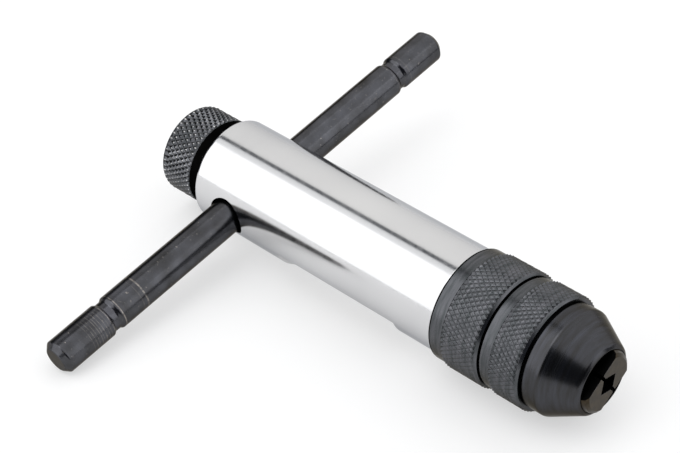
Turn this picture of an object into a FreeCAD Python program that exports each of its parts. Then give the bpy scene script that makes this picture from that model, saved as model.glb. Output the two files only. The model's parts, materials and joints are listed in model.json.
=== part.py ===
# Ratchet tap wrench with a sliding cross handle, lying on a flat surface.
# X runs along the spindle from the selector knob to the jaws and starts at the knob's end face.
# Everything is drawn with the handle along Y, then turned about X until the near end of the
# handle and the knurled collar stand on the same level. Lengths are in millimetres.
import FreeCAD, Part
import math
import os

Vec = FreeCAD.Vector
xAxis = Vec(1, 0, 0)
origin = Vec(0, 0, 0)

# Clearances
running = 0.06              # a turned journal in its bore, on the radius
sliding = 0.12              # a milled piece in its slot, on each side
seat_gap = 0.02             # a pressed piece in its bore, on the radius
face_gap = 0.10             # between faces that turn past each other
ball_gap = 0.03             # a ball off the surface that it bears on
spring_gap = 0.05           # a spring end off its seat

# Cross handle
bar_radius = 3.0
bar_length = 89.5
bar_shift = -2.0            # the bar has slid this far towards its near end
near_groove_from_end = 11.15
far_groove_from_end = 10.35
bar_groove_width = 2.1
bar_groove_depth = 0.35
bar_groove_shoulder = 0.5
bar_end_chamfer = 0.9

# Selector knob
knob_under_barrel = 1.22    # the knob's crest is this far inside the barrel's surface
knob_length = 6.8
knob_edge = 0.9
knob_neck_length = 2.9      # smooth neck between the knurled head and the barrel
knob_shank_length = 2.3     # the neck goes on this far inside the barrel
knob_end_wall = 3.2
knob_bore_radius = 4.5
knob_pin_radius = 0.9
knob_pin_end = 0.24         # the pin stops this far under the shank's surface

# Barrel
barrel_radius = 9.0
barrel_wall = 1.2
barrel_length = 52.3
barrel_rear_round = 0.5
barrel_front_chamfer = 0.2
bar_from_barrel_rear = 6.9
cross_hole_radius = 3.9
cross_hole_forward = 0.6    # the bar is pressed to the rear of its hole by the detent ball
cross_hole_up = 0.5         # and lies in the bottom of it
window_from_rear = 18.5
window_length = 25.7
window_width = 6.16
window_angles = {"near": 210.0, "far": 330.0}

# Selector sleeve and its cam
selector_swing = 25.0       # either side of the locked middle position
selector_wall = 1.1         # solid web between the shank and the handle's window
selector_window_play = 0.25
hub_to_window = 0.3         # the hub ends this far behind the pawls
cam_tube_wall = 0.6
cam_lobe_length = 3.0
cam_lobe_gap = 0.13         # the lobe's edge stays this far under the lifted pawl
cam_lobe_half_angle = 22.0
cam_lobe_from_pivot = 7.9
cam_tube_short_of_wheel = 0.45

# Detent balls and springs
handle_ball_radius = 2.0
handle_spring_length = 2.9
handle_spring_wire = 0.45
handle_spring_turns = 3
handle_spring_start = 150     # degrees round the coil to where its wire starts
selector_ball_radius = 1.0
selector_ball_from_hub_end = 3.3
selector_spring_length = 2.6
selector_spring_wire = 0.3
selector_spring_turns = 4
ball_bore_play = 0.1
dimple_depth = 0.3

# Ratchet
tooth_count = 12
wheel_radius = 6.0
wheel_root_radius = 4.9
wheel_length = 7.0
tooth_space_root = 15.6     # degrees of the space between two teeth at the root
tooth_space_tip = 19.2      # and at the crest
wheel_pin_radius = 0.8
wheel_pin_short = 0.8       # the pin stops this far under the crest
washer_thickness = 1.0

# Pawls
pawl_lift = 4.0             # degrees between engaged and lifted
pawl_pivot_from_end = 4.35
pawl_pivot_depth = 2.0      # the pivot lies this far under the barrel's surface
pawl_pin_radius = 0.7
pawl_pin_hold = 1.32        # the pin goes on this far past the window's side
pawl_end_play = 0.15
pawl_recess = 0.7           # the pawl's back lies this far under the barrel's surface
pawl_nose_recess = 2.0      # and this far over the wheel
pawl_over_tube = 0.34
pawl_tail_relief = 0.3
pawl_over_wheel = 0.15
pawl_tip_gap = 0.15         # the engaged nose stays this far off the tooth root
nose_end_play = 0.5
nose_tip_drive = 0.52
nose_tip_ramp = 0.05
nose_base_half = 0.85
pawl_spring_radius = 0.8
pawl_spring_wire = 0.28
pawl_spring_turns = 3
pawl_spring_from_end = 1.7
pawl_pocket_depth = 1.3

# Spindle
arbor_radius = 4.0
arbor_end_gap = 0.3
journal_radius = 5.3
bush_behind_window = 1.2
collar_over_barrel = 0.9    # the knurled collar stands this far over the barrel
collar_band_step = 0.35
collar_band_length = 2.6
collar_knurl_length = 7.05
collar_edge = 0.55
thread_inset = 1.5          # the chuck's thread lies this far inside the barrel's surface
thread_length = 7.2
ear_radius = 6.3
ear_length = 5.3
slot_from_collar = 3.2
thread_relief = 0.5

# Chuck sleeve and nose
sleeve_gap = 0.35
sleeve_under_collar = 0.15
sleeve_band_step = 0.4
sleeve_band_length = 1.85
sleeve_knurl_length = 5.6
sleeve_edge = 0.55
sleeve_thread_length = 4.5
sleeve_front_wall = 1.4
nose_gap = 0.35
skirt_length = 3.2
nose_band_step = 0.85
nose_band_length = 2.5
nose_band_chamfer = 0.25
nose_cone_length = 6.2
mouth_radius = 5.08
mouth_lip = 0.42
closing_angle = 20.0        # half angle of the cone that closes the jaws
retaining_wire = 0.33       # radius of the wire ring between sleeve and nose
retaining_groove_play = 0.045
retaining_from_skirt_end = 1.5

# Jaws
jaw_width = 5.5
jaw_direction = 24.0        # the jaws part along this direction, from +Y towards +Z
jaw_parting = 0.6
jaw_square = 2.8            # side of the square that the jaws leave at rest
jaw_proud = 0.5
jaw_body_radius = 5.8
jaw_vee_length = 10.0
jaw_tip_chamfer = 0.3
jaw_spring_radius = 0.8
jaw_spring_wire = 0.3
jaw_spring_turns = 5
jaw_spring_start = 180        # degrees round the coil to where its wire starts
jaw_spring_from_rear = 2.3
jaw_spring_pocket = 1.9
jaw_spring_bore = 1.0

# Stations along the spindle
barrel_start = knob_length + knob_neck_length
barrel_end = barrel_start + barrel_length
barrel_bore = barrel_radius - barrel_wall
bar_x = barrel_start + bar_from_barrel_rear
window_start = barrel_start + window_from_rear
window_end = window_start + window_length
shank_end = barrel_start + knob_shank_length
hub_end = window_start - hub_to_window
bush_rear = window_end + bush_behind_window
washer_rear = bush_rear - washer_thickness
wheel_front = washer_rear - face_gap / 2
wheel_rear = wheel_front - wheel_length
pawl_rear = window_start + pawl_end_play
pawl_front = window_end - pawl_end_play
pivot_x = pawl_rear + pawl_pivot_from_end
arbor_start = hub_end + arbor_end_gap
collar_start = barrel_end + face_gap
collar_end = collar_start + collar_band_length + collar_knurl_length
thread_end = collar_end + thread_length
slot_start = collar_end + slot_from_collar
sleeve_start = collar_end + sleeve_gap
sleeve_end = sleeve_start + sleeve_band_length + sleeve_knurl_length
nose_start = sleeve_end + nose_gap
cone_start = nose_start + nose_band_length
mouth_x = cone_start + nose_cone_length
jaw_tip = mouth_x + jaw_proud
jaw_rear = slot_start + face_gap

# Radii and angles that follow
knob_radius = barrel_radius - knob_under_barrel
shank_radius = barrel_bore - running
tube_bore = arbor_radius + running
tube_radius = tube_bore + cam_tube_wall
pawl_belly = tube_radius + pawl_over_tube
pawl_tail_belly = pawl_belly + pawl_tail_relief
pawl_pocket_roof = pawl_tail_belly + pawl_pocket_depth
pawl_top = barrel_radius - pawl_recess
pawl_nose_top = barrel_radius - pawl_nose_recess
pawl_pivot_height = barrel_radius - pawl_pivot_depth
pawl_pin_half_length = window_width / 2 + pawl_pin_hold
lobe_rise = cam_lobe_from_pivot * math.tan(math.radians(pawl_lift))
lobe_edge = math.radians(window_angles["far"] - 270 - selector_swing - cam_lobe_half_angle)
lobe_radius = (pawl_belly + lobe_rise - cam_lobe_gap) / math.cos(lobe_edge)
collar_radius = barrel_radius + collar_over_barrel
collar_band_radius = collar_radius - collar_band_step
sleeve_radius = collar_radius - sleeve_under_collar
sleeve_band_radius = sleeve_radius - sleeve_band_step
skirt_radius = sleeve_radius - sleeve_front_wall
nose_band_radius = sleeve_radius - nose_band_step
nose_cone_front_radius = mouth_radius + mouth_lip
closing_slope = math.tan(math.radians(closing_angle))
thread_radius = barrel_radius - thread_inset
sleeve_bore = thread_radius + running
nose_bore = sleeve_bore + running
skirt_bore = skirt_radius + running
nose_back_radius = nose_band_radius - nose_band_chamfer
bar_near_end = bar_shift - bar_length / 2
corner_reach = -bar_near_end - bar_end_chamfer
lying_tilt = math.degrees(
    math.asin(collar_radius / math.hypot(corner_reach, bar_radius))
    - math.atan2(bar_radius, corner_reach)
)


def rod(x0, x1, radius):
    """A plain cylinder on the spindle axis."""
    return Part.makeCylinder(radius, x1 - x0, Vec(x0, 0, 0), xAxis)


def tube(x0, x1, outer, inner):
    """A plain ring on the spindle axis."""
    return rod(x0, x1, outer).cut(rod(x0, x1, inner))


def turned(profile):
    """A solid turned about the spindle axis from (station, radius) points."""
    points = [Vec(x, 0, r) for x, r in profile]
    face = Part.Face(Part.makePolygon(points + points[:1]))
    return face.revolve(origin, xAxis, 360)


def about_axis(shape, degrees):
    """The shape turned about the spindle axis."""
    shape.rotate(origin, xAxis, degrees)
    return shape


def facing(shape, angle):
    """A shape drawn with its outward side along +Z, turned to an angle counted from +Y."""
    return about_axis(shape, angle - 90)


def block(x0, x1, half_width, z0, z1):
    """A box centred on Y = 0."""
    return Part.makeBox(x1 - x0, 2 * half_width, z1 - z0, Vec(x0, -half_width, z0))


def extruded(points, path):
    """A prism from a closed polygon."""
    return Part.Face(Part.makePolygon(points + points[:1])).extrude(path)


def coil(length, radius, wire, turns, start=0):
    """An open coil spring along +Z, its lower end on Z = 0, radius to the wire's centre."""
    rise = length - 2 * wire
    helix = Part.makeHelix(rise / turns, rise, radius)
    ring = Part.Wire(Part.Circle(Vec(radius, 0, 0), Vec(0, 1, 0), wire).toShape())
    spring = Part.Wire(helix).makePipeShell([ring], True, True)
    spring.rotate(origin, Vec(0, 0, 1), start)
    spring.translate(Vec(0, 0, wire))
    return spring


def bar_end_profile(groove_from_end):
    """Stations and radii of one half of the bar, from its end to its last groove shoulder."""
    half = bar_length / 2
    groove = half - groove_from_end
    root = bar_radius - bar_groove_depth
    floor_half = bar_groove_width / 2 - bar_groove_shoulder
    return [
        (half, 0),
        (half, bar_radius - bar_end_chamfer),
        (half - bar_end_chamfer, bar_radius),
        (groove + bar_groove_width / 2, bar_radius),
        (groove + floor_half, root),
        (groove - floor_half, root),
        (groove - bar_groove_width / 2, bar_radius),
    ]


def sliding_handle():
    """Round bar with a turned groove near each end and chamfered ends."""
    far_end = bar_end_profile(far_groove_from_end)
    near_end = [(-x, r) for x, r in reversed(bar_end_profile(near_groove_from_end))]
    bar = turned(far_end + near_end)
    bar.rotate(origin, Vec(0, 0, 1), 90)
    bar.translate(Vec(bar_x, bar_shift, 0))
    return bar


def rim_edges(shape, x):
    """The round edge of a turned blank at a station."""
    circles = [edge for edge in shape.Edges if edge.Curve.TypeId == "Part::GeomCircle"]
    return [edge for edge in circles if abs(edge.CenterOfMass.x - x) < seat_gap]


def knob():
    """Knurled head with rounded edges, and the smooth shank that turns in the barrel."""
    head = rod(0, knob_length, knob_radius)
    head = head.makeFillet(knob_edge, rim_edges(head, 0) + rim_edges(head, knob_length))
    shank = rod(knob_length - knob_edge, shank_end, shank_radius)
    bore = rod(knob_end_wall, shank_end, knob_bore_radius)
    return head.fuse(shank).cut(bore).cut(knob_pin(seat_gap)).removeSplitter()


def knob_pin(play=0.0):
    """Cross pin that fixes the selector's stub in the knob, hidden inside the barrel."""
    half = shank_radius - knob_pin_end + play
    x = (barrel_start + shank_end) / 2
    pin = Part.makeCylinder(knob_pin_radius + play, 2 * half, Vec(x, 0, -half), Vec(0, 0, 1))
    return pin


def handle_passage():
    """The double wedge that lets the selector swing past the fixed handle."""
    lean = math.radians(selector_swing)
    reach = barrel_radius
    waist = (bar_radius + selector_window_play) / math.cos(lean)
    corner = waist + reach * math.tan(lean)
    x0 = shank_end + selector_wall
    x1 = bar_x + cross_hole_forward + cross_hole_radius - selector_window_play
    points = [
        Vec(x0, reach, corner), Vec(x0, 0, waist), Vec(x0, -reach, corner),
        Vec(x0, -reach, -corner), Vec(x0, 0, -waist), Vec(x0, reach, -corner),
    ]
    return extruded(points, Vec(x1 - x0, 0, 0))


def handle_ball_x():
    return bar_x + bar_radius + ball_gap + handle_ball_radius


def selector_ball_x():
    return hub_end - selector_ball_from_hub_end


def selector_spring_foot():
    top = shank_radius - 2 * selector_ball_radius - spring_gap
    return top - selector_spring_length


def selector_sleeve():
    """Stub, slotted hub and cam tube: it carries the detents and lifts one pawl or the other."""
    stub = rod(knob_end_wall + face_gap, shank_end, knob_bore_radius - seat_gap)
    hub = rod(shank_end, hub_end, shank_radius)
    cam_tube = rod(hub_end, wheel_rear - cam_tube_short_of_wheel, tube_radius)
    sleeve = stub.fuse(hub).fuse(cam_tube).fuse(cam_lobe())
    sleeve = sleeve.cut(rod(hub_end, wheel_rear, tube_bore))
    sleeve = sleeve.cut(handle_passage())
    spring_seat = handle_ball_x() + handle_ball_radius + handle_spring_length + 2 * spring_gap
    ball_bore = rod(bar_x, spring_seat, handle_ball_radius + ball_bore_play)
    side_bore = Part.makeCylinder(
        selector_ball_radius + ball_bore_play / 2,
        barrel_radius,
        Vec(selector_ball_x(), 0, selector_spring_foot() - spring_gap),
        Vec(0, 0, 1),
    )
    return sleeve.cut(ball_bore).cut(side_bore).cut(knob_pin(seat_gap)).removeSplitter()


def cam_lobe():
    """The raised lobe under the cam tube's middle, which points down in the locked position."""
    x0 = pivot_x + cam_lobe_from_pivot
    lobe = rod(x0, x0 + cam_lobe_length, lobe_radius)
    half = math.radians(cam_lobe_half_angle)
    reach = 2 * barrel_radius
    wedge = [
        Vec(x0, 0, 0),
        Vec(x0, -reach * math.tan(half), -reach),
        Vec(x0, reach * math.tan(half), -reach),
    ]
    return lobe.common(extruded(wedge, Vec(cam_lobe_length, 0, 0)))


def handle_detent_ball():
    return Part.makeSphere(handle_ball_radius, Vec(handle_ball_x(), 0, 0))


def handle_detent_spring():
    radius = handle_ball_radius - handle_spring_wire / 2 - ball_bore_play
    wire = handle_spring_wire / 2
    spring = coil(handle_spring_length, radius, wire, handle_spring_turns, handle_spring_start)
    spring.rotate(origin, Vec(0, 1, 0), 90)
    spring.translate(Vec(handle_ball_x() + handle_ball_radius + spring_gap, 0, 0))
    return spring


def selector_detent_ball():
    centre = shank_radius - selector_ball_radius
    return Part.makeSphere(selector_ball_radius, Vec(selector_ball_x(), 0, centre))


def selector_detent_spring():
    radius = selector_ball_radius - selector_spring_wire / 2 - ball_bore_play
    spring = coil(selector_spring_length, radius, selector_spring_wire / 2, selector_spring_turns)
    spring.translate(Vec(selector_ball_x(), 0, selector_spring_foot()))
    return spring


def barrel():
    """Tube with the cross hole, two pawl windows, pivot holes and detent dimples."""
    r0 = barrel_bore
    r1 = barrel_radius
    x0 = barrel_start
    x1 = barrel_end
    shell = rod(x0, x1, r1)
    shell = shell.makeFillet(min(barrel_rear_round, barrel_wall / 2), rim_edges(shell, x0))
    shell = shell.makeChamfer(barrel_front_chamfer, rim_edges(shell, x1))
    shell = shell.cut(rod(x0, x1, r0))
    hole_at = Vec(bar_x + cross_hole_forward, -2 * r1, cross_hole_up)
    shell = shell.cut(Part.makeCylinder(cross_hole_radius, 4 * r1, hole_at, Vec(0, 1, 0)))
    for angle in window_angles.values():
        opening = block(window_start, window_end, window_width / 2, pawl_belly / 2, 2 * r1)
        shell = shell.cut(facing(opening, angle))
        shell = shell.cut(facing(pivot_pin(seat_gap), angle))
    for step in (-1, 0, 1):
        centre = r0 + dimple_depth - selector_ball_radius
        dimple = Part.makeSphere(selector_ball_radius, Vec(selector_ball_x(), 0, centre))
        shell = shell.cut(about_axis(dimple, step * selector_swing))
    return shell


def pivot_pin(play=0.0):
    """A pawl's pivot, across its window, drawn with the window on top."""
    half = pawl_pin_half_length + play
    at = Vec(pivot_x, -half, pawl_pivot_height)
    return Part.makeCylinder(pawl_pin_radius + play, 2 * half, at, Vec(0, 1, 0))


def pawl(drive_side):
    """A rocking pawl, engaged, drawn with its window on top. drive_side is +1 or -1 along Y."""
    half = window_width / 2 - sliding
    x0 = pawl_rear
    x1 = pawl_front
    over = wheel_radius + pawl_over_wheel
    neck = wheel_rear - pawl_end_play
    side = [
        (x0, pawl_tail_belly), (pivot_x - pawl_pin_radius, pawl_tail_belly),
        (pivot_x, pawl_belly), (neck, pawl_belly), (neck, over), (x1, over),
        (x1, pawl_nose_top), (pivot_x + 2 * pawl_pin_radius, pawl_top),
        (x0 + pawl_pin_radius, pawl_top), (x0, pawl_top - pawl_pin_radius),
    ]
    outline = [Vec(x, -half, z) for x, z in side]
    lever = extruded(outline, Vec(0, 2 * half, 0))
    tip = wheel_root_radius + pawl_tip_gap
    n0 = wheel_rear + nose_end_play
    n1 = x1 - face_gap
    nose = [
        Vec(n0, drive_side * nose_tip_drive, tip), Vec(n0, drive_side * nose_base_half, over + face_gap),
        Vec(n0, -drive_side * nose_base_half, over + face_gap), Vec(n0, -drive_side * nose_tip_ramp, tip),
    ]
    lever = lever.fuse(extruded(nose, Vec(n1 - n0, 0, 0)))
    lever = lever.cut(pivot_pin(running / 2))
    pocket_x = x0 + pawl_spring_from_end
    bore = pawl_spring_radius + pawl_spring_wire / 2 + 2 * ball_bore_play
    depth = pawl_pocket_roof - pawl_tail_belly
    pocket = Part.makeCylinder(bore, 2 * depth, Vec(pocket_x, 0, pawl_pocket_roof - 2 * depth), Vec(0, 0, 1))
    return lever.cut(pocket).removeSplitter()


def lifted(shape, share):
    """A pawl, drawn with its window on top, turned about its pivot by a share of its lift."""
    shape.rotate(Vec(pivot_x, 0, pawl_pivot_height), Vec(0, 1, 0), -pawl_lift * share)
    return shape


def pawl_spring(share):
    """The coil under a pawl's tail, shorter where the pawl is lifted."""
    sink = (pivot_x - pawl_rear - pawl_spring_from_end) * math.tan(math.radians(pawl_lift)) * share
    foot = tube_radius + spring_gap
    length = pawl_pocket_roof - sink - spring_gap - foot
    spring = coil(length, pawl_spring_radius, pawl_spring_wire / 2, pawl_spring_turns)
    spring.translate(Vec(pawl_rear + pawl_spring_from_end, 0, foot))
    return spring


def ratchet_wheel():
    """Straight toothed wheel, a tooth space facing each pawl."""
    points = []
    for tooth in range(tooth_count):
        middle = 360.0 / tooth_count * tooth
        steps = [
            (-tooth_space_tip, wheel_radius), (-tooth_space_root, wheel_root_radius),
            (tooth_space_root, wheel_root_radius), (tooth_space_tip, wheel_radius),
        ]
        for width, radius in steps:
            angle = math.radians(window_angles["near"] + middle + width / 2)
            points.append(Vec(wheel_rear, radius * math.cos(angle), radius * math.sin(angle)))
    wheel = extruded(points, Vec(wheel_length, 0, 0))
    return wheel.cut(rod(wheel_rear, wheel_front, arbor_radius + seat_gap)).cut(ratchet_pin(seat_gap))


def ratchet_pin(play=0.0):
    """Cross pin through the wheel and the spindle, along a tooth."""
    half = wheel_radius - wheel_pin_short + play
    middle = (wheel_rear + wheel_front) / 2
    pin = Part.makeCylinder(wheel_pin_radius + play, 2 * half, Vec(middle, 0, -half), Vec(0, 0, 1))
    return facing(pin, window_angles["near"] + 180.0 / tooth_count)


def jaw_frame(shape):
    """A shape drawn with the jaws parting along Z, turned to the jaws' direction."""
    return facing(shape, jaw_direction)


def spindle():
    """Arbor, journal, knurled collar and the threaded, slotted nose, turned in one piece."""
    knurl_start = collar_start + collar_band_length
    profile = [
        (arbor_start, 0), (arbor_start, arbor_radius),
        (wheel_front, arbor_radius), (wheel_front, journal_radius),
        (collar_start, journal_radius), (collar_start, collar_band_radius),
        (knurl_start, collar_band_radius), (knurl_start + collar_edge / 2, collar_radius),
        (collar_end - collar_edge, collar_radius), (collar_end, collar_radius - collar_edge),
        (collar_end, thread_radius - thread_relief),
        (collar_end + thread_relief, thread_radius),
        (thread_end - thread_relief, thread_radius), (thread_end, thread_radius - thread_relief),
        (thread_end, ear_radius), (thread_end + ear_length, ear_radius), (thread_end + ear_length, 0),
    ]
    body = turned(profile)
    slot = block(slot_start, jaw_tip, jaw_width / 2 + sliding / 2, -barrel_radius, barrel_radius)
    return body.cut(jaw_frame(slot)).cut(ratchet_pin(seat_gap)).removeSplitter()


def thrust_washer():
    return tube(washer_rear, bush_rear, barrel_bore - face_gap, journal_radius + face_gap)


def front_bush():
    return tube(bush_rear, barrel_end, barrel_bore - seat_gap, journal_radius + running)


def retaining_groove():
    middle = nose_start - skirt_length + retaining_from_skirt_end
    half = retaining_wire + retaining_groove_play
    centre = (skirt_radius + skirt_bore) / 2
    return tube(middle - half, middle + half, centre + half, centre - half)


def chuck_sleeve():
    """Knurled nut that screws on the spindle and carries the nose forward and back."""
    counter_start = sleeve_start + sleeve_thread_length
    knurl_start = sleeve_start + sleeve_band_length
    profile = [
        (sleeve_start, sleeve_bore), (sleeve_start, sleeve_band_radius),
        (knurl_start, sleeve_band_radius), (knurl_start + sleeve_edge / 2, sleeve_radius),
        (sleeve_end - sleeve_edge, sleeve_radius), (sleeve_end, sleeve_radius - sleeve_edge),
        (sleeve_end, skirt_bore), (counter_start, skirt_bore), (counter_start, sleeve_bore),
    ]
    return turned(profile).cut(retaining_groove())


def closing_radius(x, play=0.0):
    """Radius of the closing cone at a station."""
    return mouth_radius - play + (mouth_x - x) * closing_slope


def nose_cone():
    """The nose, whose inner cone closes the jaws. It slides with the sleeve and does not turn."""
    inner_start = mouth_x - (nose_bore - mouth_radius) / closing_slope
    skirt_start = nose_start - skirt_length
    profile = [
        (skirt_start, nose_bore), (skirt_start, skirt_radius),
        (nose_start, skirt_radius), (nose_start, nose_band_radius),
        (cone_start - nose_band_chamfer, nose_band_radius), (cone_start, nose_back_radius),
        (mouth_x, nose_cone_front_radius), (mouth_x, mouth_radius), (inner_start, nose_bore),
    ]
    return turned(profile).cut(retaining_groove())


def nose_retaining_ring():
    middle = nose_start - skirt_length + retaining_from_skirt_end
    centre = (skirt_radius + skirt_bore) / 2
    return Part.makeTorus(centre, retaining_wire, Vec(middle, 0, 0), xAxis)


def jaw():
    """One jaw, drawn on the +Z side of the parting plane."""
    play = running
    cone_from = mouth_x - (jaw_body_radius - mouth_radius + play) / closing_slope
    tip_radius = closing_radius(jaw_tip, play)
    profile = [
        (jaw_rear, 0), (jaw_rear, jaw_body_radius), (cone_from, jaw_body_radius),
        (jaw_tip - jaw_tip_chamfer, closing_radius(jaw_tip - jaw_tip_chamfer, play)),
        (jaw_tip, tip_radius - jaw_tip_chamfer), (jaw_tip, 0),
    ]
    half_gap = jaw_parting / 2
    body = turned(profile).common(
        block(jaw_rear, jaw_tip, jaw_width / 2, half_gap, barrel_radius)
    )
    depth = jaw_square / math.sqrt(2)
    vee_start = jaw_tip - jaw_vee_length
    vee = [Vec(vee_start, -depth, 0), Vec(vee_start, depth, 0), Vec(vee_start, 0, depth)]
    body = body.cut(extruded(vee, Vec(jaw_vee_length, 0, 0)))
    foot = Vec(jaw_rear + jaw_spring_from_rear, 0, 0)
    pocket = Part.makeCylinder(jaw_spring_bore, half_gap + jaw_spring_pocket, foot, Vec(0, 0, 1))
    return body.cut(pocket).removeSplitter()


def jaw_spring():
    reach = jaw_parting / 2 + jaw_spring_pocket - spring_gap
    wire = jaw_spring_wire / 2
    spring = coil(2 * reach, jaw_spring_radius, wire, jaw_spring_turns, jaw_spring_start)
    spring.translate(Vec(jaw_rear + jaw_spring_from_rear, 0, -reach))
    return spring


def turned_over(shape):
    return about_axis(shape, 180)


def selected(shape):
    """A piece of the selector, turned to the position that lifts the far pawl."""
    return about_axis(shape, selector_swing)


near = window_angles["near"]
far = window_angles["far"]
nodes = {
    "barrel": barrel(),
    "sliding_handle": sliding_handle(),
    "knob": selected(knob()),
    "knob_pin": selected(knob_pin()),
    "selector_sleeve": selected(selector_sleeve()),
    "selector_detent_ball": selected(selector_detent_ball()),
    "selector_detent_spring": selected(selector_detent_spring()),
    "handle_detent_ball": handle_detent_ball(),
    "handle_detent_spring": handle_detent_spring(),
    "pawl_near": facing(lifted(pawl(-1), 0), near),
    "pawl_far": facing(lifted(pawl(1), 1), far),
    "pawl_pin_near": facing(pivot_pin(), near),
    "pawl_pin_far": facing(pivot_pin(), far),
    "pawl_spring_near": facing(pawl_spring(0), near),
    "pawl_spring_far": facing(pawl_spring(1), far),
    "spindle": spindle(),
    "ratchet_wheel": ratchet_wheel(),
    "ratchet_pin": ratchet_pin(),
    "thrust_washer": thrust_washer(),
    "front_bush": front_bush(),
    "chuck_sleeve": chuck_sleeve(),
    "nose_cone": nose_cone(),
    "nose_retaining_ring": nose_retaining_ring(),
    "jaw_upper": jaw_frame(jaw()),
    "jaw_lower": jaw_frame(turned_over(jaw())),
    "jaw_spring": jaw_frame(jaw_spring()),
}

os.makedirs("parts", exist_ok=True)
for name, shape in nodes.items():
    placed = about_axis(shape, lying_tilt)
    placed.exportStep("parts/" + name + ".step")
    print(name, "solids", len(placed.Solids), "valid", placed.isValid(), "volume", round(placed.Volume, 2))
print("lying tilt", round(lying_tilt, 3), "overall length", round(jaw_tip, 2))
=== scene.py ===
# Ratchet tap wrench: chromed barrel, black cross handle, knurled knob and two-jaw chuck.
# Stations run along X from the knob's end face; sizes in the settings are in millimetres.
import bpy
import json
import math
from mathutils import Matrix, Vector

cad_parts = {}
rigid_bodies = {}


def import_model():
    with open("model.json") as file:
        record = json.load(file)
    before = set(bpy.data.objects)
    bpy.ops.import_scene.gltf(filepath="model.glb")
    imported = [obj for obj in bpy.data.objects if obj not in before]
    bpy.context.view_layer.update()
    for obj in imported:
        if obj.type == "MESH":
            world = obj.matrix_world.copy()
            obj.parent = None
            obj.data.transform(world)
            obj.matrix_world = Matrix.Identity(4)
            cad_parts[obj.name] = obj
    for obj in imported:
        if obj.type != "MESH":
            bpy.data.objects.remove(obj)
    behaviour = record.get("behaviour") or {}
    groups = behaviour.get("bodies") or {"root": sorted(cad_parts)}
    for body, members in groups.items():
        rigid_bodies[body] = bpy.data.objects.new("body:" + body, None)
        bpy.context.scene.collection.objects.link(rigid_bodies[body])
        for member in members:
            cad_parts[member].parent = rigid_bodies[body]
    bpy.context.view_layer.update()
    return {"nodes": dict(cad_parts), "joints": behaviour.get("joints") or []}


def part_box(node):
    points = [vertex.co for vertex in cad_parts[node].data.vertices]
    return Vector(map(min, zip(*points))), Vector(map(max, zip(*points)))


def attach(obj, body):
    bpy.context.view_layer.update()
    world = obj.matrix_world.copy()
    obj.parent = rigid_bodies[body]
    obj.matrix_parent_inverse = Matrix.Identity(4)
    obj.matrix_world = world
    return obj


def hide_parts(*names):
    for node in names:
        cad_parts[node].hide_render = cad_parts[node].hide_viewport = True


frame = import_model()
mm = 0.001
jawsOverHandle = 24     # the jaws part this many degrees above the handle's direction
centreRing = 0.5        # radius of the smallest ring of a flat end


def nodeSpan(name):
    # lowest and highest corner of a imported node, in millimetres
    low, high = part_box(name)
    return low / mm, high / mm


knobHigh = nodeSpan("knob")[1]
barrelLow, barrelHigh = nodeSpan("barrel")
handleLow, handleHigh = nodeSpan("sliding_handle")
spindleLow, spindleHigh = nodeSpan("spindle")
sleeveLow, sleeveHigh = nodeSpan("chuck_sleeve")
noseLow, noseHigh = nodeSpan("nose_cone")
jawHigh = nodeSpan("jaw_upper")[1]
joints = {joint["name"]: joint for joint in frame["joints"]}
handleDirection = Vector(joints["handle_slide"]["axis"])
handleTilt = math.atan2(handleDirection.z, handleDirection.y)
handleStation = (handleLow.x + handleHigh.x) / 2
jawAngle = math.radians(jawsOverHandle) + handleTilt
floorLevel = spindleLow.z * mm
print("frame loaded, handle tilt", round(math.degrees(handleTilt), 2))


# Materials

noiseGrades = {"cloud": (4.0, 0.55), "grain": (5.0, 0.65), "marks": (6.0, 0.6)}     # detail, roughness
cloudBand = (0.3, 0.7)      # the noise below the first is all dark, above the second all light


def addNode(tree, kind, output, inputs, operation=None):
    # a shader node; each input is a plain value or the output of another node
    node = tree.nodes.new(kind)
    if operation:
        node.operation = operation
    for socket, value in inputs.items():
        if isinstance(value, bpy.types.NodeSocket):
            tree.links.new(value, node.inputs[socket])
        else:
            node.inputs[socket].default_value = value
    return node.outputs[output]


def objectPlace(tree):
    return addNode(tree, "ShaderNodeTexCoord", "Object", {})


def addNoise(tree, grade, scale, stretch=(1, 1, 1)):
    detail, roughness = noiseGrades[grade]
    place = addNode(tree, "ShaderNodeMapping", "Vector", {"Vector": objectPlace(tree), "Scale": stretch})
    inputs = {"Vector": place, "Scale": scale, "Detail": detail, "Roughness": roughness}
    return addNode(tree, "ShaderNodeTexNoise", "Fac", inputs)


def addMath(tree, operation, *values):
    return addNode(tree, "ShaderNodeMath", "Value", dict(enumerate(values)), operation)


def riseBetween(tree, value, low, high):
    # 0 below low, 1 above high
    return addNode(tree, "ShaderNodeMapRange", "Result", {"Value": value, "From Min": low, "From Max": high})


def spreadOver(tree, value, low, high):
    # a value from 0 to 1 spread over low to high
    return addNode(tree, "ShaderNodeMapRange", "Result", {"Value": value, "To Min": low, "To Max": high})


def twoTones(tree, value, dark, light):
    ramp = tree.nodes.new("ShaderNodeValToRGB")
    for element, place, colour in zip(ramp.color_ramp.elements, cloudBand, (dark, light)):
        element.position = place
        element.color = (*colour, 1)
    tree.links.new(value, ramp.inputs["Fac"])
    return ramp.outputs["Color"]


def placeAlongHandle(tree):
    # how far a point lies along the handle's direction, in metres
    inputs = {0: objectPlace(tree), 1: handleDirection}
    return addNode(tree, "ShaderNodeVectorMath", "Value", inputs, "DOT_PRODUCT")


def placeFromAxis(tree):
    # how far a point lies from the axis of the barrel, in metres
    flat = addNode(tree, "ShaderNodeVectorMath", "Vector", {0: objectPlace(tree), 1: (0, 1, 1)}, "MULTIPLY")
    return addNode(tree, "ShaderNodeVectorMath", "Value", {0: flat}, "LENGTH")


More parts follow.
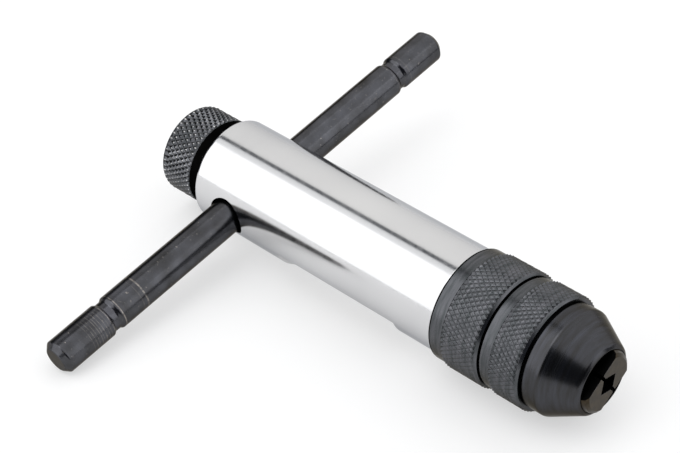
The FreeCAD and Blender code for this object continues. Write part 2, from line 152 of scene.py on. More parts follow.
def wearAndGlintMask(tree, wear):
    # where the finish has worn through: specks and thin rings round a bar; the tips of a knurl are lighter
    # partly from wear, partly as a painted glint
    grain = addNoise(tree, "grain", wear["grain"])
    mask = riseBetween(tree, grain, *wear["specks"])
    marks = []
    for station, width, strength in wear.get("rings", []):
        along = placeAlongHandle(tree)
        marks.append((addMath(tree, "COMPARE", along, station * mm, width / 2 * mm), strength))
    # the knurl tips above a radius: partly worn, partly a painted glint
    if "crest" in wear:
        start, end, strength = wear["crest"]
        marks.append((riseBetween(tree, placeFromAxis(tree), start * mm, end * mm), strength))
    for mark, strength in marks:
        patches = riseBetween(tree, grain, *wear["patches"])
        faint = addMath(tree, "MULTIPLY", addMath(tree, "MULTIPLY", mark, patches), strength)
        mask = addMath(tree, "MAXIMUM", mask, faint)
    return mask


def metalMaterial(name, look):
    # a metal with a cloudy colour, worn places (on knurl tips partly a painted glint), and fine marks in its
    # roughness and its bumps
    material = bpy.data.materials.new(name)
    material.use_nodes = True
    tree = material.node_tree
    shader = tree.nodes["Principled BSDF"]
    shader.inputs["Metallic"].default_value = 1.0
    shader.inputs["Specular Tint"].default_value = (*look.get("edgeTint", (1, 1, 1)), 1)
    cloud = addNoise(tree, "cloud", look["cloudScale"], look.get("cloudStretch", (1, 1, 1)))
    colour = twoTones(tree, cloud, look["dark"], look["light"])
    if "wear" in look:
        wearAndGlintColour = (*look["wear"]["colour"], 1)
        inputs = {"Fac": wearAndGlintMask(tree, look["wear"]), "Color1": colour, "Color2": wearAndGlintColour}
        colour = addNode(tree, "ShaderNodeMixRGB", "Color", inputs)
    marks = addNoise(tree, "marks", scale=1.0, stretch=look["markStretch"])
    inputs = {"Strength": look["bump"], "Distance": look["bumpDepth"] * mm, "Height": marks}
    tree.links.new(colour, shader.inputs["Base Color"])
    tree.links.new(spreadOver(tree, marks, *look["roughness"]), shader.inputs["Roughness"])
    tree.links.new(addNode(tree, "ShaderNodeBump", "Normal", inputs), shader.inputs["Normal"])
    return material


blackEdge = (0.52, 0.50, 0.46)
chromeLook = {
    "edgeTint": (0.55, 0.56, 0.58), "cloudScale": 40,
    "dark": (0.59, 0.59, 0.60), "light": (0.66, 0.66, 0.665),
    "markStretch": (900, 45, 45), "roughness": (0.08, 0.22), "bump": 0.09, "bumpDepth": 0.02,
}
# each ring of wear: place along the handle, width, strength
handleRings = [
    (-41.0, 0.10, 0.25), (-40.4, 0.12, 0.30), (-39.9, 0.10, 0.30), (-39.3, 0.12, 0.40), (-38.9, 0.10, 0.35),
    (-38.4, 0.12, 0.45), (-37.8, 0.10, 0.40), (-37.3, 0.10, 0.30), (-36.7, 0.16, 0.60), (-34.2, 0.20, 0.80),
    (-30.2, 0.10, 0.30), (-29.3, 0.26, 0.80), (31.1, 0.16, 0.20), (34.2, 0.16, 0.20),
]
handleLook = {
    "edgeTint": blackEdge, "cloudScale": 260, "dark": (0.050, 0.050, 0.052), "light": (0.092, 0.094, 0.105),
    "markStretch": (900, 90, 900), "roughness": (0.14, 0.32), "bump": 0.12, "bumpDepth": 0.03,
    "wear": {"grain": 2200, "specks": (0.63, 0.74), "patches": (0.36, 0.58), "colour": (0.30, 0.275, 0.25),
             "rings": handleRings},
}
knurlLook = {
    "edgeTint": blackEdge, "cloudScale": 400, "cloudStretch": (5, 0.6, 0.6),
    "dark": (0.058, 0.064, 0.067), "light": (0.120, 0.121, 0.132),
    "markStretch": (700, 700, 700), "roughness": (0.16, 0.36), "bump": 0.12, "bumpDepth": 0.03,
    # lighter knurl tips: partly worn finish, partly a painted glint
    "wear": {"grain": 1800, "specks": (0.72, 0.78), "patches": (0.42, 0.62), "colour": (0.24, 0.235, 0.24),
             "crest": (9.82, 9.9, 0.6)},
}
# the tips of the knob's knurl: partly worn bare steel, partly a painted glint, near white where the lamps
# catch them
knobWearAndGlints = {
    "grain": 1500, "specks": (0.70, 0.76), "patches": (0.40, 0.56), "colour": (0.85, 0.84, 0.83),
    "crest": (7.66, 7.76, 0.9),
}
turnedLook = {
    "edgeTint": blackEdge, "cloudScale": 300, "cloudStretch": (5, 0.5, 0.5),
    "dark": (0.042, 0.041, 0.040), "light": (0.066, 0.068, 0.078),
    "markStretch": (5000, 60, 60), "roughness": (0.16, 0.34), "bump": 0.3, "bumpDepth": 0.02,
    "wear": {"grain": 2400, "specks": (0.72, 0.78), "colour": (0.20, 0.18, 0.16)},
}
# painted shade: a near-black finish laid on the knob's neck, the gap behind the collar and the jaws' flanks,
# where shade falls
shadowLook = {
    "edgeTint": (0.2, 0.2, 0.2), "cloudScale": 300,
    "dark": (0.002, 0.002, 0.002), "light": (0.005, 0.005, 0.005),
    "markStretch": (5000, 60, 60), "roughness": (0.45, 0.65), "bump": 0.3, "bumpDepth": 0.02,
}
jawLook = {
    "cloudScale": 900, "dark": (0.020, 0.015, 0.009), "light": (0.056, 0.043, 0.027),
    "markStretch": (900, 900, 900), "roughness": (0.30, 0.5), "bump": 0.25, "bumpDepth": 0.04,
}
steelLook = {
    "cloudScale": 300, "dark": (0.30, 0.29, 0.28), "light": (0.42, 0.41, 0.40),
    "markStretch": (2000, 200, 200), "roughness": (0.25, 0.4), "bump": 0.2, "bumpDepth": 0.02,
}
# painted highlight: a lighter finish for the narrow slanted bevel strips near the mouth, standing in for the
# light they catch
paintedJawHighlightLook = dict(jawLook, dark=(0.09, 0.09, 0.095), light=(0.24, 0.24, 0.25), roughness=(0.2, 0.35))
brightLook = dict(steelLook, dark=(0.58, 0.57, 0.56), light=(0.7, 0.69, 0.68), roughness=(0.15, 0.28))
springLook = dict(steelLook, dark=(0.38, 0.37, 0.36), light=(0.5, 0.49, 0.48), roughness=(0.2, 0.3))
bronzeLook = dict(steelLook, dark=(0.50, 0.33, 0.14), light=(0.66, 0.46, 0.22), roughness=(0.25, 0.4))
materials = {
    "chrome": metalMaterial("polishedChrome", chromeLook),
    "handle": metalMaterial("handleBlackOxide", handleLook),
    "knurl": metalMaterial("knurledBlack", knurlLook),
    "knob": metalMaterial("knurledKnob", dict(knurlLook, wear=knobWearAndGlints)),
    "turned": metalMaterial("turnedBlack", turnedLook),
    "shadow": metalMaterial("paintedShadeBlack", shadowLook),
    "jaw": metalMaterial("jawSteel", jawLook),
    "jawPaintedHighlight": metalMaterial("paintedJawHighlight", paintedJawHighlightLook),
    "steel": metalMaterial("hardenedSteel", steelLook),
    "bright": metalMaterial("brightSteel", brightLook),
    "spring": metalMaterial("springSteel", springLook),
    "bronze": metalMaterial("bearingBronze", bronzeLook),
}
# the inner solids stay as they were packed
cadFinishes = {
    "bright": ["knob_pin", "selector_detent_ball", "handle_detent_ball", "pawl_pin_near", "pawl_pin_far",
               "ratchet_pin", "thrust_washer"],
    "spring": ["selector_detent_spring", "handle_detent_spring", "pawl_spring_near", "pawl_spring_far",
               "nose_retaining_ring", "jaw_spring"],
    "steel": ["selector_sleeve", "pawl_near", "pawl_far", "ratchet_wheel"],
    "bronze": ["front_bush"],
}
for finish, names in cadFinishes.items():
    for name in names:
        mesh = frame["nodes"][name].data
        mesh.materials.clear()
        mesh.materials.append(materials[finish])
print("materials made")


# Modelling helpers

nearZero = 1e-7     # points this close are one point, and a smaller change counts as none


def deselectAll():
    if bpy.context.object and bpy.context.object.mode != "OBJECT":
        bpy.ops.object.mode_set(mode="OBJECT")
    for other in bpy.context.view_layer.objects:
        other.select_set(False)


def grab(thing):
    deselectAll()
    thing.select_set(True)
    bpy.context.view_layer.objects.active = thing


def applyPlace(thing):
    grab(thing)
    bpy.ops.object.transform_apply(location=True, rotation=True, scale=True)


def fromAxis(place):
    return math.hypot(place.y, place.z)


def selectWhere(thing, kind, test):
    # in edit mode, selects the vertices that pass a test on their place, or the faces that pass a test
    bpy.ops.mesh.select_all(action="DESELECT")
    bpy.ops.object.mode_set(mode="OBJECT")
    if kind == "VERT":
        for vertex in thing.data.vertices:
            vertex.select = test(vertex.co)
    else:
        for face in thing.data.polygons:
            face.select = test(face)
    bpy.ops.object.mode_set(mode="EDIT")
    bpy.ops.mesh.select_mode(type=kind)


def useModifier(thing, kind, **values):
    grab(thing)
    modifier = thing.modifiers.new(kind.lower(), kind)
    for key, value in values.items():
        setattr(modifier, key, value)
    bpy.ops.object.modifier_apply(modifier=modifier.name)


def cutAway(thing, cutter):
    useModifier(thing, "BOOLEAN", operation="DIFFERENCE", object=cutter, solver="EXACT")
    bpy.data.objects.remove(cutter)


def boxCutter(size, centre, turn):
    # a box in millimetres, turned about the axis of the barrel
    deselectAll()
    bpy.ops.mesh.primitive_cube_add(size=1)
    cutter = bpy.context.object
    cutter.scale = Vector(size) * mm
    cutter.location = Vector(centre) * mm
    applyPlace(cutter)
    cutter.matrix_world = Matrix.Rotation(turn, 4, "X")
    applyPlace(cutter)
    return cutter


def extrudeRing(fromStation, toStation, fromRadius, toRadius):
    # one step of a turned shape: the selected ring is drawn out along X and resized
    step = (toStation - fromStation) * mm
    bpy.ops.mesh.extrude_region_move(TRANSFORM_OT_translate={"value": (step, 0, 0)})
    share = toRadius / fromRadius
    if abs(share - 1) > nearZero:
        bpy.ops.transform.resize(value=(1, share, share), center_override=(toStation * mm, 0, 0))


def latheFromRings(name, profile, sides, loop=False):
    # a turned shape from pairs of station and radius; loop joins the last ring to the first
    deselectAll()
    station, radius = profile[0]
    bpy.ops.mesh.primitive_circle_add(
        vertices=sides, radius=radius * mm, location=(station * mm, 0, 0), rotation=(0, math.pi / 2, 0)
    )
    thing = bpy.context.object
    thing.name = name
    applyPlace(thing)
    bpy.ops.object.mode_set(mode="EDIT")
    bpy.ops.mesh.select_mode(type="EDGE")
    bpy.ops.mesh.select_all(action="SELECT")
    for nextStation, nextRadius in profile[1:]:
        extrudeRing(station, nextStation, radius, nextRadius)
        station, radius = nextStation, nextRadius
    if loop:
        extrudeRing(station, profile[0][0], radius, profile[0][1])
        bpy.ops.mesh.select_all(action="SELECT")
        bpy.ops.mesh.remove_doubles(threshold=nearZero)
    else:
        bpy.ops.mesh.select_all(action="SELECT")
        bpy.ops.mesh.select_non_manifold()
        bpy.ops.mesh.fill_holes(sides=0)
    bpy.ops.mesh.select_all(action="SELECT")
    bpy.ops.mesh.normals_make_consistent(inside=False)
    bpy.ops.object.mode_set(mode="OBJECT")
    return thing


def roundEdge(start, end, fromRadius, toRadius, steps=4):
    # a quarter round between two stations, as pairs of station and radius without the first
    pairs = []
    for number in range(1, steps + 1):
        angle = math.pi / 2 * number / steps
        along, across = math.sin(angle), 1 - math.cos(angle)
        if toRadius > fromRadius:
            along, across = across, along
        pairs.append((start + (end - start) * along, fromRadius + (toRadius - fromRadius) * across))
    return pairs


def easedCorners(corners, loop=False):
    # rounds the corners (station, radius, size) of a turned shape; rings beside a round keep the flats true
    longestShare, ringBeside = 0.3, 1.5
    rings = []
    last = len(corners) - 1
    for number, (station, radius, size) in enumerate(corners):
        if size == 0 or (not loop and number in (0, last)):
            rings.append((station, radius))
            continue
        here = Vector((station, radius))
        before = here - Vector(corners[number - 1][:2])
        after = Vector(corners[(number + 1) % len(corners)][:2]) - here
        reach = min(size, before.length * longestShare, after.length * longestShare)
        inward, outward = before.normalized() * reach, after.normalized() * reach
        first, second = here - inward, here + outward
        points = [here - inward * ringBeside, first, (first * 4 + here * 4 + second) / 9,
                  (first + here * 4 + second * 4) / 9, second, here + outward * ringBeside]
        rings += [tuple(point) for point in points]
    return rings


def knurlRows(start, end, crest, rows):
    # the rings of a knurled band after its first; they lie at the crest and are cut later
    return [(start + (end - start) * row / rows, crest) for row in range(1, rows + 1)]


def cutKnurl(thing, start, end, settings):
    # cuts a band into pyramids with flat tips by pulling every second point of its rings inwards
    rows, crest, depth = settings["rows"], settings["crest"], settings["depth"]
    pitch = (end - start) * mm / rows
    step = 2 * math.pi / settings["columns"]
    valleyRadius = (crest - depth) * mm
    tipRadius = (crest - depth / 2) * mm

    def rowAndParity(place):
        row = round((place.x - start * mm) / pitch)
        column = round(math.atan2(place.z, place.y) / step)
        return row, (row + column) % 2

    def valley(place):
        row, odd = rowAndParity(place)
        return 0 <= row <= rows and odd == 1 and fromAxis(place) > valleyRadius

    def tip(place):
        row, odd = rowAndParity(place)
        return 0 < row < rows and odd == 0 and fromAxis(place) > tipRadius

    def bandFace(face):
        inBand = start * mm < face.center.x < end * mm
        return len(face.vertices) == 4 and inBand and fromAxis(face.center) > valleyRadius

    grab(thing)
    bpy.ops.object.mode_set(mode="EDIT")
    selectWhere(thing, "VERT", valley)
    share = 1 - depth / crest
    bpy.ops.transform.resize(value=(1, share, share), center_override=(0, 0, 0))
    selectWhere(thing, "FACE", bandFace)
    bpy.ops.mesh.quads_convert_to_tris(quad_method="SHORTEST_DIAGONAL")
    selectWhere(thing, "VERT", tip)
    bpy.ops.mesh.bevel(offset_type="PERCENT", offset_pct=settings["flat"], affect="VERTICES")
    bpy.ops.object.mode_set(mode="OBJECT")


def finishPiece(thing, body, nodes, material, smoothBelow=30):
    thing.data.materials.clear()
    thing.data.materials.append(material)
    grab(thing)
    bpy.ops.object.shade_smooth_by_angle(angle=math.radians(smoothBelow))
    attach(thing, body)
    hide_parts(*nodes)
    print(thing.name, "done,", len(thing.data.polygons), "faces")


def paintFaces(thing, material, test):
    # a further material on the faces of a piece that pass a test
    grab(thing)
    bpy.ops.object.material_slot_add()
    thing.material_slots[-1].material = material
    thing.active_material_index = len(thing.material_slots) - 1
    bpy.ops.object.mode_set(mode="EDIT")
    selectWhere(thing, "FACE", test)
    bpy.ops.object.material_slot_assign()
    bpy.ops.object.mode_set(mode="OBJECT")


# Knob

knobSettings = {
    "crest": 7.78, "headEnd": 6.8, "rearEdge": 0.9, "frontEdge": 0.5,
    "rows": 7, "columns": 96, "depth": 0.32, "flat": 22,
    "rim": 5.9, "dish": 0.12, "dishSlope": 0.3, "bore": 4.5, "endWall": 3.2,
    "neck": 7.74, "neckEdge": 0.2, "neckRound": [(0, 0.25), (0.12, 0.06), (0.25, 0)],
}


def makeKnob(sizes):
    crest, headEnd, neck = sizes["crest"], sizes["headEnd"], sizes["neck"]
    knurlStart, knurlEnd = sizes["rearEdge"], headEnd - sizes["frontEdge"]
    rearRadius = crest - sizes["rearEdge"]
    profile = [(sizes["dish"], centreRing), (sizes["dish"], sizes["rim"] - sizes["dishSlope"]),
               (0, sizes["rim"]), (0, rearRadius)]
    profile += roundEdge(0, knurlStart, rearRadius, crest)
    profile += knurlRows(knurlStart, knurlEnd, crest, sizes["rows"])
    profile += roundEdge(knurlEnd, headEnd, crest, crest - sizes["frontEdge"])
    profile += [(headEnd + forward, neck - inward) for forward, inward in sizes["neckRound"]]
    profile += [(knobHigh.x - sizes["neckEdge"], neck), (knobHigh.x, neck - sizes["neckEdge"]),
                (knobHigh.x, sizes["bore"]), (sizes["endWall"], sizes["bore"]),
                (sizes["endWall"], centreRing)]
    knob = latheFromRings("knobHead", profile, sizes["columns"])
    cutKnurl(knob, knurlStart, knurlEnd, sizes)
    finishPiece(knob, "selector", ["knob"], materials["knob"])
    # painted shade: the smooth neck behind the knurl is laid near black, as it sits in shade
    paintFaces(knob, materials["shadow"], lambda face: face.center.x > headEnd * mm)


makeKnob(knobSettings)


# Cross handle

handleSettings = {
    "radius": 3.0, "length": 89.5, "shift": -2.0, "sides": 128, "chamfer": 0.9, "ease": 0.14, "centre": 0.4,
    "nearGroove": 11.15, "farGroove": 10.35, "grooveWidth": 2.1, "grooveDepth": 0.35, "shoulder": 0.5,
}


def handleHalf(sizes, sign, grooveFromEnd):
    # the corners of one half of the handle, from its end to past its groove
    half, radius, ease = sizes["length"] / 2, sizes["radius"], sizes["ease"]
    groove, width = half - grooveFromEnd, sizes["grooveWidth"] / 2
    floorRadius, shoulder = radius - sizes["grooveDepth"], sizes["shoulder"]
    corners = [(half, sizes["centre"], 0), (half, radius - sizes["chamfer"], ease),
               (half - sizes["chamfer"], radius, ease), (groove + width, radius, ease),
               (groove + width - shoulder, floorRadius, ease), (groove - width + shoulder, floorRadius, ease),
               (groove - width, radius, ease)]
    return [(sign * station, radius, size) for station, radius, size in corners]


def makeHandle(sizes):
    corners = handleHalf(sizes, -1, sizes["nearGroove"]) + handleHalf(sizes, 1, sizes["farGroove"])[::-1]
    handle = latheFromRings("crossHandle", easedCorners(corners), sizes["sides"])
    handle.matrix_world = (
        Matrix.Translation((handleStation * mm, 0, 0))
        @ Matrix.Rotation(handleTilt, 4, "X")
        @ Matrix.Translation((0, sizes["shift"] * mm, 0))
        @ Matrix.Rotation(math.pi / 2, 4, "Z")
    )
    applyPlace(handle)
    finishPiece(handle, "handle", ["sliding_handle"], materials["handle"], smoothBelow=35)


makeHandle(handleSettings)


# Barrel

barrelSettings = {
    "radius": 9.0, "wall": 1.2, "sides": 384, "rearRound": 0.5, "frontRound": 0.2, "boreRound": 0.1,
    "hole": 3.5, "holeForward": 0.35, "holeUp": 0.3, "holeSides": 128, "holeLength": 40,
    "windowFromRear": 18.5, "windowLength": 25.7, "windowWidth": 6.16, "windowReach": 10,
    "windowAngles": (210, 330),
}


def makeBarrel(sizes):
    outer, inner = sizes["radius"], sizes["radius"] - sizes["wall"]
    start, end = barrelLow.x, barrelHigh.x
    corners = [(start, inner, sizes["boreRound"]), (start, outer, sizes["rearRound"]),
               (end, outer, sizes["frontRound"]), (end, inner, sizes["boreRound"])]
    barrel = latheFromRings("barrelTube", easedCorners(corners, loop=True), sizes["sides"], loop=True)
    deselectAll()
    bpy.ops.mesh.primitive_cylinder_add(
        vertices=sizes["holeSides"], radius=sizes["hole"] * mm, depth=sizes["holeLength"] * mm
    )
    cutter = bpy.context.object
    cutter.matrix_world = (
        Matrix.Rotation(handleTilt, 4, "X")
        @ Matrix.Translation(((handleStation + sizes["holeForward"]) * mm, 0, sizes["holeUp"] * mm))
        @ Matrix.Rotation(math.pi / 2, 4, "X")
    )
    applyPlace(cutter)
    cutAway(barrel, cutter)
    windowSize = (sizes["windowLength"], sizes["windowWidth"], sizes["windowReach"])
    windowCentre = (start + sizes["windowFromRear"] + sizes["windowLength"] / 2, 0, sizes["windowReach"])
    for angle in sizes["windowAngles"]:
        cutAway(barrel, boxCutter(windowSize, windowCentre, math.radians(angle - 90) + handleTilt))
    finishPiece(barrel, "barrel", ["barrel"], materials["chrome"])


makeBarrel(barrelSettings)


# Spindle with its knurled collar

spindleSettings = {
    "arbor": 4.0, "arborRound": 0.3, "stepRound": 0.1,
    "journal": 5.3, "journalStart": 54.05, "journalRound": 0.2,
    "gap": 0.1, "collarBand": 9.55, "bandLength": 2.6, "bandRound": 0.22, "shadowLine": 0.33,
    "crest": 9.9, "knurlLength": 7.05, "edge": 0.4, "rows": 10, "columns": 132, "depth": 0.2, "flat": 24,
    "kneeRound": 0.05, "thread": 7.5, "threadLength": 7.2, "threadRound": 0.5, "ear": 6.3, "earRound": 0.2,
    "slotHalf": 2.81, "slotFrom": 3.2, "slotLength": 20, "slotReach": 30,
}


def makeSpindle(sizes):
    collarStart = barrelHigh.x + sizes["gap"]
    knurlStart = collarStart + sizes["bandLength"]
    collarEnd = knurlStart + sizes["knurlLength"]
    threadEnd = collarEnd + sizes["threadLength"]
    cutStart, cutEnd = knurlStart + sizes["edge"] / 2, collarEnd - sizes["edge"]
    crest, journalStart = sizes["crest"], sizes["journalStart"]
    profile = easedCorners([
        (spindleLow.x, centreRing, 0), (spindleLow.x, sizes["arbor"], sizes["arborRound"]),
        (journalStart, sizes["arbor"], sizes["stepRound"]),
        (journalStart, sizes["journal"], sizes["journalRound"]),
        (collarStart, sizes["journal"], 0), (collarStart, sizes["collarBand"], sizes["bandRound"]),
        (knurlStart, sizes["collarBand"], sizes["kneeRound"]), (cutStart, crest, 0)
    ])
    profile += knurlRows(cutStart, cutEnd, crest, sizes["rows"])
    profile += easedCorners([
        (cutEnd, crest, 0), (collarEnd, crest - sizes["edge"], 0), (collarEnd, sizes["thread"], 0),
        (threadEnd, sizes["thread"], sizes["threadRound"]), (threadEnd, sizes["ear"], 0),
        (spindleHigh.x, sizes["ear"], sizes["earRound"]), (spindleHigh.x, centreRing, 0)
    ])[1:]
    spindle = latheFromRings("spindleCollar", profile, sizes["columns"])
    cutKnurl(spindle, cutStart, cutEnd, sizes)
    slotSize = (sizes["slotLength"], 2 * sizes["slotHalf"], sizes["slotReach"])
    slotCentre = (collarEnd + sizes["slotFrom"] + sizes["slotLength"] / 2, 0, 0)
    cutAway(spindle, boxCutter(slotSize, slotCentre, jawAngle - math.pi / 2))
    finishPiece(spindle, "spindle", ["spindle"], materials["knurl"])
    # painted shade: the faces at the gap between barrel and collar are laid near black, where shade falls
    shadowReach = sizes["shadowLine"] * mm
    paintFaces(spindle, materials["shadow"], lambda face: abs(face.center.x - collarStart * mm) < shadowReach)


makeSpindle(spindleSettings)


# Chuck sleeve

sleeveSettings = {
    "band": 9.35, "bandLength": 1.85, "bandRound": 0.14, "kneeRound": 0.05,
    "crest": 9.75, "edge": 0.4, "rows": 8, "columns": 132, "depth": 0.2, "flat": 26,
    "bore": 7.56, "skirtBore": 8.41, "skirtStart": 76.6,
}


def makeSleeve(sizes):
    start, end, crest = sleeveLow.x, sleeveHigh.x, sizes["crest"]
    knurlStart = start + sizes["bandLength"]
    cutStart, cutEnd = knurlStart + sizes["edge"] / 2, end - sizes["edge"]
    profile = easedCorners([
        (start, sizes["bore"], 0), (start, sizes["band"], sizes["bandRound"]),
        (knurlStart, sizes["band"], sizes["kneeRound"]), (cutStart, crest, 0)
    ])
    profile += knurlRows(cutStart, cutEnd, crest, sizes["rows"])
    profile += [(end, crest - sizes["edge"]), (end, sizes["skirtBore"]),
                (sizes["skirtStart"], sizes["skirtBore"]), (sizes["skirtStart"], sizes["bore"])]
    sleeve = latheFromRings("chuckSleeve", profile, sizes["columns"], loop=True)
    cutKnurl(sleeve, cutStart, cutEnd, sizes)
    finishPiece(sleeve, "sleeve", ["chuck_sleeve"], materials["knurl"])


makeSleeve(sleeveSettings)


# Nose

noseSettings = {
    "gap": 0.35, "band": 8.9, "bandLength": 2.5, "bandRound": 0.14, "shoulderRound": 0.25,
    "coneFront": 5.5, "coneRound": 0.25, "mouth": 5.08, "closing": 20,
    "bore": 7.62, "skirt": 8.35, "sides": 192,
    "rimBack": 0.45, "rimFall": 0.35, "rimLand": 0.2, "rimRound": 0.12, "lip": 0.02, "lipRound": 0.04,
}


def makeNose(sizes):
    noseStart = sleeveHigh.x + sizes["gap"]
    coneStart = noseStart + sizes["bandLength"]
    mouthX = noseHigh.x
    closing = math.tan(math.radians(sizes["closing"]))
    boreEnd = mouthX - (sizes["bore"] - sizes["mouth"]) / closing
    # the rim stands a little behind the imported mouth, so the jaws show in front of it
    rimX = mouthX - sizes["rimBack"]
    rimRadius = sizes["mouth"] + sizes["rimBack"] * closing
    coneSlope = (sizes["band"] - sizes["coneFront"]) / (mouthX - coneStart)
    coneEnd = rimX - sizes["rimFall"]
    corners = [
        (noseLow.x, sizes["bore"], 0), (noseLow.x, sizes["skirt"], 0), (noseStart, sizes["skirt"], 0),
        (noseStart, sizes["band"], sizes["bandRound"]), (coneStart, sizes["band"], sizes["shoulderRound"]),
        (coneEnd, sizes["coneFront"] + (mouthX - coneEnd) * coneSlope, sizes["coneRound"]),
        (rimX, rimRadius + sizes["rimLand"], sizes["rimRound"]),
        (rimX, rimRadius + sizes["lip"], sizes["lipRound"]), (boreEnd, sizes["bore"], 0)
    ]
    nose = latheFromRings("noseCone", easedCorners(corners, loop=True), sizes["sides"], loop=True)
    finishPiece(nose, "nose", ["nose_cone"], materials["turned"], smoothBelow=36)


makeNose(noseSettings)


# Jaws

jawSettings = {
    "rear": 75.05, "radius": 5.8, "width": 5.5, "gap": 0.6,
    "square": 2.8, "squareLength": 12, "squareBack": 4,
    "play": 0.06, "tipChamfer": 0.38, "edge": 0.12, "edgeSteps": 2, "edgeAbove": 40, "sides": 160,
    "flankSlope": 0.2, "faceSlope": 0.93, "litWithin": 4.1,
}


def cutPlane(place, direction):
    # clears what lies past a plane and closes the cut
    bpy.ops.mesh.select_all(action="SELECT")
    bpy.ops.mesh.bisect(
        plane_co=place, plane_no=direction, use_fill=True, clear_outer=True, threshold=nearZero
    )


def modelJaw(name, sizes):
    # a jaw straight above the axis; the vee in its inner face is one half of the square opening
    closing = math.tan(math.radians(noseSettings["closing"]))
    mouthX, tip = noseHigh.x, jawHigh.x
    coneFrom = mouthX - (sizes["radius"] - noseSettings["mouth"] + sizes["play"]) / closing
    tipRadius = noseSettings["mouth"] - sizes["play"] + (mouthX - tip) * closing
    chamfer = sizes["tipChamfer"]
    profile = [(sizes["rear"], centreRing), (sizes["rear"], sizes["radius"]), (coneFrom, sizes["radius"]),
               (tip - chamfer, tipRadius + chamfer * closing), (tip, tipRadius - chamfer), (tip, centreRing)]
    jaw = latheFromRings(name, profile, sizes["sides"])
    grab(jaw)
    bpy.ops.object.mode_set(mode="EDIT")
    for side in (1, -1):
        cutPlane((0, side * sizes["width"] / 2 * mm, 0), (0, side, 0))
    cutPlane((0, 0, sizes["gap"] / 2 * mm), (0, 0, -1))
    bpy.ops.object.mode_set(mode="OBJECT")
    deselectAll()
    bpy.ops.mesh.primitive_cube_add(
        size=1, location=((tip - sizes["squareBack"]) * mm, 0, 0), rotation=(math.pi / 4, 0, 0)
    )
    cutter = bpy.context.object
    cutter.scale = Vector((sizes["squareLength"], sizes["square"], sizes["square"])) * mm
    applyPlace(cutter)
    cutAway(jaw, cutter)
    useModifier(jaw, "BEVEL", width=sizes["edge"] * mm, segments=sizes["edgeSteps"],
                limit_method="ANGLE", angle_limit=math.radians(sizes["edgeAbove"]))
    return jaw


def copyPiece(piece, name):
    copied = piece.copy()
    copied.data = piece.data.copy()
    copied.name = name
    bpy.context.collection.objects.link(copied)
    return copied


def finishJaw(jaw, sizes, node, body, turn):
    jaw.matrix_world = Matrix.Rotation(turn, 4, "X")
    applyPlace(jaw)
    finishPiece(jaw, body, [node], materials["jaw"], smoothBelow=15)

    def flank(face):
        return face.normal.x < sizes["flankSlope"] and face.center.x > sizes["rear"] * mm

    def paintedHighlightEdge(face):
        slanted = sizes["flankSlope"] < face.normal.x < sizes["faceSlope"]
        return slanted and fromAxis(face.center) < sizes["litWithin"] * mm

    # painted shade: the jaws' flat flanks are laid near black
    paintFaces(jaw, materials["shadow"], flank)
    # painted highlight on the slanted bevel strips near the mouth
    paintFaces(jaw, materials["jawPaintedHighlight"], paintedHighlightEdge)


jawUpper = modelJaw("jawUpper", jawSettings)
jawLower = copyPiece(jawUpper, "jawLower")
finishJaw(jawUpper, jawSettings, "jaw_upper", "upper_jaw", jawAngle - math.pi / 2)
finishJaw(jawLower, jawSettings, "jaw_lower", "lower_jaw", jawAngle + math.pi / 2)


# Stage, light and camera; places and sizes here are in metres

stageSettings = {
    "floorFrom": (-2.0, -0.6), "floorTo": (0.17, 2.0), "floorColour": (0.46, 0.46, 0.46), "floorGlow": 0.52,
    "floorRoughness": 0.8, "floorSpecular": 0.1, "world": (0.055, 0.062, 0.075),
}
cameraSettings = {
    "at": (0.2159824, -0.1755675, 0.2076272), "toward": (-0.5559158, 0.5379322, -0.6337131),
    "up": (-0.4131056, 0.4827681, 0.7721943), "lens": 106.974, "sensor": 36, "nearest": 0.01,
}
# each soft panel: place, what it faces, width and height, how bright its face looks, colour
panels = {
    "nearBox": ((-0.45, -0.57, 0.49), (-0.45, 0, 0), (1.15, 1.3), 1.65, (1, 1, 1)),
    "farBox": ((-0.9, 0.743, 0.591), (-0.9, 0, 0), (1.3, 1.56), 1.0, (1, 0.985, 0.96)),
    "topBox": ((0.4, 0.1, 1.0), (0.4, 0.1, 0), (1.4, 1.4), 1.15, (1, 1, 1)),
    "backBox": ((0.3, 0.86, 0.44), (0.3, 0, 0), (1.1, 0.9), 1.2, (1, 1, 1)),
    "gapBox": ((-0.7, -0.045, 1.08), (-0.7, -0.045, 0), (1.4, 0.235), 1.05, (1, 1, 1)),
    "sideBox": ((1.1, 0.42, 0.45), (0.03, 0, 0), (0.8, 0.95), 1.5, (1, 1, 1)),
}


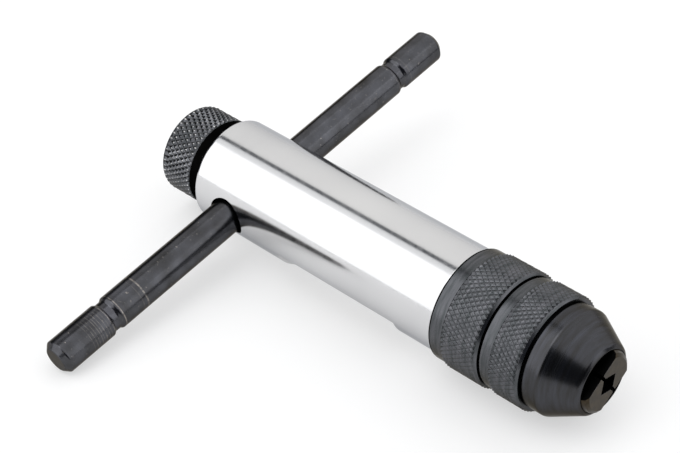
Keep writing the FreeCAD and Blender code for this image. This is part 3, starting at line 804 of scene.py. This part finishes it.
def floorMaterial(settings):
    # the camera, and mirrors, see the floor lighter than its lit colour, so it comes out white
    material = bpy.data.materials.new("paleFloor")
    material.use_nodes = True
    tree = material.node_tree
    shader = tree.nodes["Principled BSDF"]
    shader.inputs["Base Color"].default_value = (*settings["floorColour"], 1)
    shader.inputs["Roughness"].default_value = settings["floorRoughness"]
    shader.inputs["Specular IOR Level"].default_value = settings["floorSpecular"]
    path = tree.nodes.new("ShaderNodeLightPath")
    seen = path.outputs["Is Camera Ray"]
    for ray in ("Is Glossy Ray", "Is Transmission Ray"):
        seen = addMath(tree, "MAXIMUM", seen, path.outputs[ray])
    strength = addMath(tree, "MULTIPLY", seen, settings["floorGlow"])
    glow = addNode(tree, "ShaderNodeEmission", "Emission", {"Strength": strength})
    both = addNode(tree, "ShaderNodeAddShader", "Shader", {0: shader.outputs["BSDF"], 1: glow})
    tree.links.new(both, tree.nodes["Material Output"].inputs["Surface"])
    return material


def makeFloor(settings):
    fromX, fromY = settings["floorFrom"]
    toX, toY = settings["floorTo"]
    deselectAll()
    bpy.ops.mesh.primitive_plane_add(size=1)
    floor = bpy.context.object
    floor.name = "floor"
    floor.scale = (toX - fromX, toY - fromY, 1)
    floor.location = ((fromX + toX) / 2, (fromY + toY) / 2, floorLevel)
    applyPlace(floor)
    floor.data.materials.append(floorMaterial(settings))


def addPanel(name, at, aim, size, level, colour):
    deselectAll()
    bpy.ops.object.light_add(type="AREA", location=at)
    lamp = bpy.context.object
    lamp.name = name
    lamp.data.shape = "RECTANGLE"
    lamp.data.size, lamp.data.size_y = size
    lamp.data.color = colour
    lamp.data.energy = level * math.pi * size[0] * size[1]
    lamp.rotation_euler = (Vector(aim) - Vector(at)).to_track_quat("-Z", "Y").to_euler()


def makeCamera(settings):
    camera = bpy.data.objects.new("camera", bpy.data.cameras.new("camera"))
    bpy.context.scene.collection.objects.link(camera)
    camera.data.sensor_width = settings["sensor"]
    camera.data.lens = settings["lens"]
    camera.data.clip_start = settings["nearest"]
    forward = Vector(settings["toward"]).normalized()
    right = forward.cross(Vector(settings["up"])).normalized()
    up = right.cross(forward)
    turn = Matrix((right, up, -forward)).transposed().to_4x4()
    camera.matrix_world = Matrix.Translation(settings["at"]) @ turn
    bpy.context.scene.camera = camera


makeFloor(stageSettings)
world = bpy.data.worlds.new("studio")
bpy.context.scene.world = world
world.use_nodes = True
background = world.node_tree.nodes["Background"]
background.inputs["Color"].default_value = (*stageSettings["world"], 1)
background.inputs["Strength"].default_value = 1.0
for panelName, panel in panels.items():
    addPanel(panelName, *panel)
makeCamera(cameraSettings)
bpy.context.scene.view_settings.view_transform = "Standard"
print("stage and camera set")
